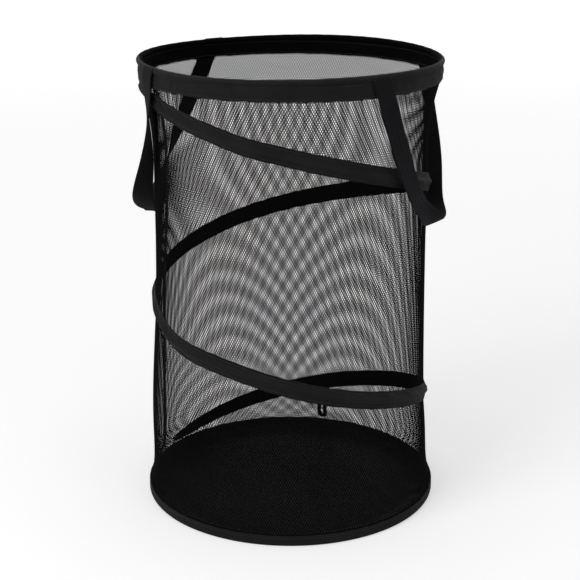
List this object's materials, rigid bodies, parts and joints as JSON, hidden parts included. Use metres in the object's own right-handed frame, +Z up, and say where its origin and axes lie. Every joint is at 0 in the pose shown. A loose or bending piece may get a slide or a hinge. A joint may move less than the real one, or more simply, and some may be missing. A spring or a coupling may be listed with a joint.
{
  "type": "pop up laundry hamper",
  "caption": "Tall round collapsible mesh laundry hamper with wire hoops, a spiral spring wire in a sewn channel, a cloth base and two webbing carry handles.",
  "frame": {"origin": "centre of the base, on the floor that the hamper stands on", "axes": "+Z up through the open rim, the two carry handles at +X and -X, the closure loop at the back at +Y"},
  "size_m": [0.393, 0.36, 0.546],
  "materials": {
    "binding_tape": "black woven polyester bias tape, matte, folded and lock stitched",
    "wall_mesh": "black warp knitted polyester mesh with small diamond openings, matte",
    "base_cloth": "black coated polyester cloth, slight sheen",
    "handle_webbing": "black herringbone polypropylene webbing, matte, faintly blue",
    "loop_elastic": "black narrow braided elastic, matte",
    "spring_wire": "drawn spring steel wire, phosphate grey",
    "crimp_metal": "zinc plated steel tube, crimped",
    "tip_plastic": "black soft vinyl, matte"
  },
  "bodies": {
    "base": {"base_panel": "base_cloth", "base_binding": "binding_tape", "base_hoop_wire": "spring_wire", "base_hoop_sleeve": "crimp_metal", "mesh_wall": "wall_mesh", "side_seam_tape": "binding_tape", "spiral_binding": "binding_tape", "spiral_wire": "spring_wire", "spiral_lower_tip": "tip_plastic", "closure_loop": "loop_elastic"},
    "rim": {"rim_binding": "binding_tape", "rim_hoop_wire": "spring_wire", "rim_hoop_sleeve": "crimp_metal", "spiral_upper_tip": "tip_plastic"},
    "right_strap": {"handle_right": "handle_webbing"},
    "left_strap": {"handle_left": "handle_webbing"}
  },
  "joints": [
    {"name": "collapse", "type": "slide", "parent": "base", "child": "rim", "axis": [0, 0, -1], "range_m": [0, 0.49], "stiffness_N_per_m": 40, "springref_m": -0.15, "deforming": ["mesh_wall", "side_seam_tape", "spiral_binding", "spiral_wire", "spiral_lower_tip", "closure_loop", "handle_right", "handle_left"]},
    {"name": "right_handle_swing", "type": "hinge", "parent": "rim", "child": "right_strap", "pos_m": [0.1336, 0, 0.546], "axis": [0, -1, 0], "range_deg": [0, 200]},
    {"name": "left_handle_swing", "type": "hinge", "parent": "rim", "child": "left_strap", "pos_m": [-0.1336, 0, 0.546], "axis": [0, 1, 0], "range_deg": [0, 200]}
  ]
}
